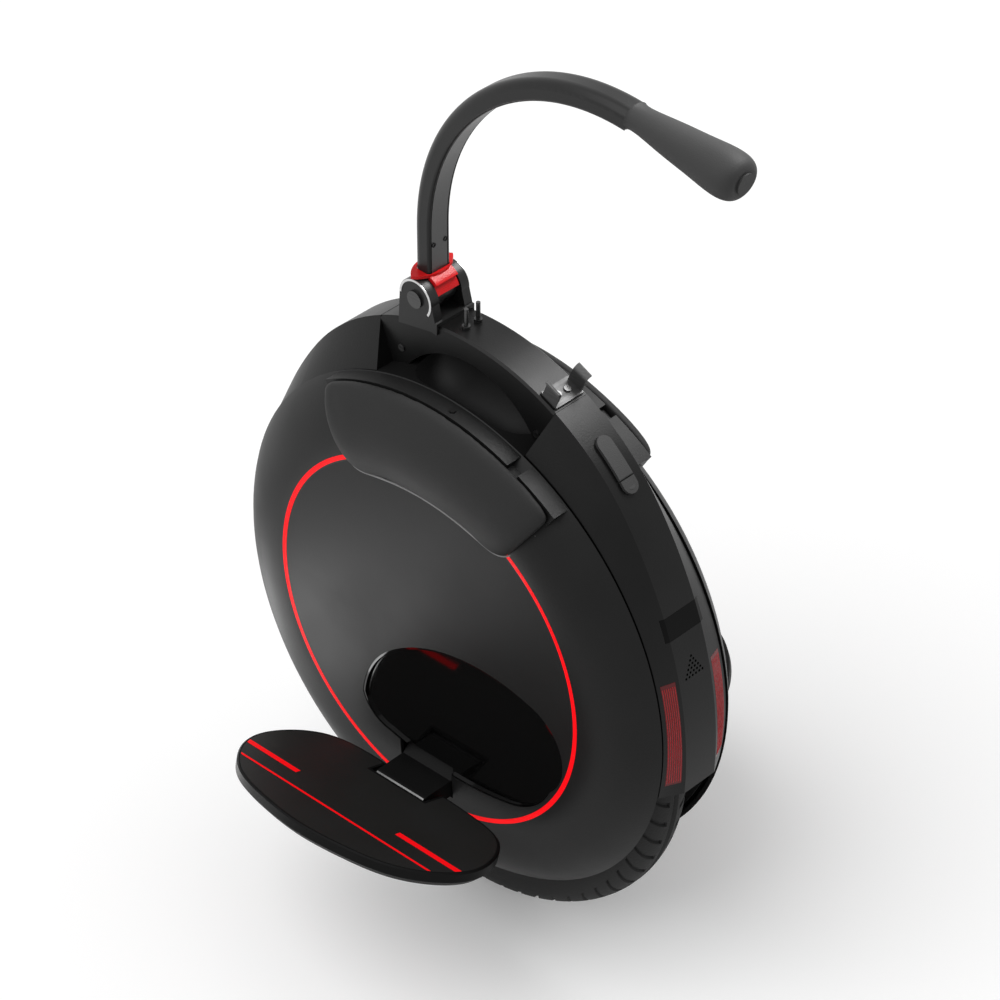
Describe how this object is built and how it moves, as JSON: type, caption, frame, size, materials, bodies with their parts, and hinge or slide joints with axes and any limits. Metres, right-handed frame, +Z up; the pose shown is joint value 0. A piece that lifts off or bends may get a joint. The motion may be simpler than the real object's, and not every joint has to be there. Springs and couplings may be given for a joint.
{
  "type": "electric unicycle",
  "caption": "Self-balancing electric unicycle: one motor wheel between dished shells, folding foot pedals, padded leg rests, a bridge handle and a hooked trolley arm that folds back.",
  "frame": {"origin": "where the tyre meets the ground, under the axle", "axes": "+X the way it travels, +Y to the rider's left, +Z up"},
  "size_m": [0.4115, 0.3602, 0.6826],
  "materials": {
    "shell_plastic": "fine matte",
    "frame_plastic": "moulded",
    "trim_plastic": "satin",
    "red_plastic": "gloss",
    "gloss_plastic": "gloss",
    "lens": "clear",
    "soft_pad": "soft skin",
    "rubber": "matte",
    "tyre": "treaded",
    "alloy": "cast",
    "painted_alloy": "black coat",
    "steel": "brushed",
    "iron": "laminated",
    "copper": "enamelled wire",
    "battery_case": "shrink wrap",
    "board": "board"
  },
  "bodies": {
    "chassis": {"accessory_studs": "steel", "arm_clip": "steel", "axle": "steel", "axle_nuts": "steel", "axle_plates": "steel", "bridge_screws": "steel", "charge_socket": "board", "control_board": "board", "flap_tail": "rubber", "front_spine": "trim_plastic", "handle_bridge": "trim_plastic", "headlamp_lens": "lens", "heat_sink": "alloy", "hinge_base": "trim_plastic", "hinge_pin": "steel", "left_battery_pack": "battery_case", "left_gloss_tray": "gloss_plastic", "left_leg_pad": "soft_pad", "left_pedal_bracket": "trim_plastic", "left_side_shell": "shell_plastic", "left_tail_lamp": "red_plastic", "left_trim_ring": "red_plastic", "main_frame": "frame_plastic", "motor_cable": "rubber", "pedal_mount_screws": "steel", "pedal_pins": "steel", "rear_spine": "trim_plastic", "rear_window": "gloss_plastic", "right_battery_pack": "battery_case", "right_gloss_tray": "gloss_plastic", "right_leg_pad": "soft_pad", "right_pedal_bracket": "trim_plastic", "right_side_shell": "shell_plastic", "right_tail_lamp": "red_plastic", "right_trim_ring": "red_plastic", "side_shell_screws": "steel", "speaker": "board", "stator_core": "iron", "stator_windings": "copper", "top_deck": "trim_plastic"},
    "wheel": {"tyre": "tyre", "inner_tube": "rubber", "wheel_rim": "alloy", "magnet_ring": "iron", "left_motor_cover": "alloy", "right_motor_cover": "alloy", "motor_cover_screws": "steel", "wheel_bearings": "steel", "valve_stem": "steel"},
    "left_pedal": {"left_pedal_plate": "painted_alloy", "left_pedal_sheet": "gloss_plastic"},
    "right_pedal": {"right_pedal_plate": "painted_alloy", "right_pedal_sheet": "gloss_plastic"},
    "arm": {"arm_tube": "painted_alloy", "arm_strip": "gloss_plastic", "arm_grip": "rubber", "grip_cap": "rubber"},
    "latch": {"arm_latch": "red_plastic"},
    "flap": {"charge_flap": "rubber"},
    "button": {"power_button": "gloss_plastic"}
  },
  "joints": [
    {"name": "wheel_spin", "type": "hinge", "parent": "chassis", "child": "wheel", "pos_m": [0, 0, 0.178], "axis": [0, 1, 0], "continuous": true},
    {"name": "left_pedal_fold", "type": "hinge", "parent": "chassis", "child": "left_pedal", "pos_m": [0, 0.078, 0.1175], "axis": [0.999, 0, -0.0436], "range_deg": [0, 72]},
    {"name": "right_pedal_fold", "type": "hinge", "parent": "chassis", "child": "right_pedal", "pos_m": [0, -0.078, 0.1175], "axis": [-0.999, 0, 0.0436], "range_deg": [0, 72]},
    {"name": "arm_fold", "type": "hinge", "parent": "chassis", "child": "arm", "pos_m": [0.043, 0, 0.472], "axis": [0, 1, 0], "range_deg": [-70, 0]},
    {"name": "latch_lift", "type": "slide", "parent": "arm", "child": "latch", "axis": [0, 0, 1], "range_m": [0, 0.008], "stiffness_N_per_m": 300, "springref_m": -0.003},
    {"name": "flap_hinge", "type": "hinge", "parent": "chassis", "child": "flap", "pos_m": [-0.12548, 0, 0.4087], "axis": [0, -1, 0], "range_deg": [0, 100], "stiffness_Nm_per_rad": 0.004},
    {"name": "button_press", "type": "slide", "parent": "chassis", "child": "button", "axis": [0.0627, 0, -0.998], "range_m": [0, 0.0012], "stiffness_N_per_m": 600}
  ]
}
